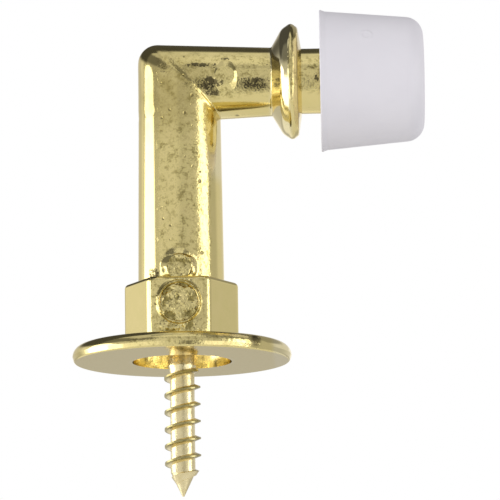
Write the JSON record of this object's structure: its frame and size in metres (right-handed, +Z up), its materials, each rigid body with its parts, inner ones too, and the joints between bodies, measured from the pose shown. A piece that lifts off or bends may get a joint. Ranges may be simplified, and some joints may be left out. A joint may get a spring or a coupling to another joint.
{
  "type": "floor door stop",
  "caption": "Floor-mounted door stop: a cast angle post with a flange, a spanner hexagon and a flared collar, a wood screw below and a pale rubber tip that meets the door.",
  "frame": {"origin": "centre of the flange's floor face, on the post's axis", "axes": "+Z up the post away from the floor, +X out along the arm to the rubber tip"},
  "size_m": [0.0424, 0.026, 0.0584],
  "materials": {
    "plated_casting": "bright plated die casting with a slightly pitted skin",
    "plated_screw": "bright plated rolled thread",
    "rubber": "smooth moulded, satin"
  },
  "bodies": {
    "root": {"door_stop_body": "plated_casting", "floor_screw": "plated_screw", "rubber_tip": "rubber"}
  },
  "joints": []
}
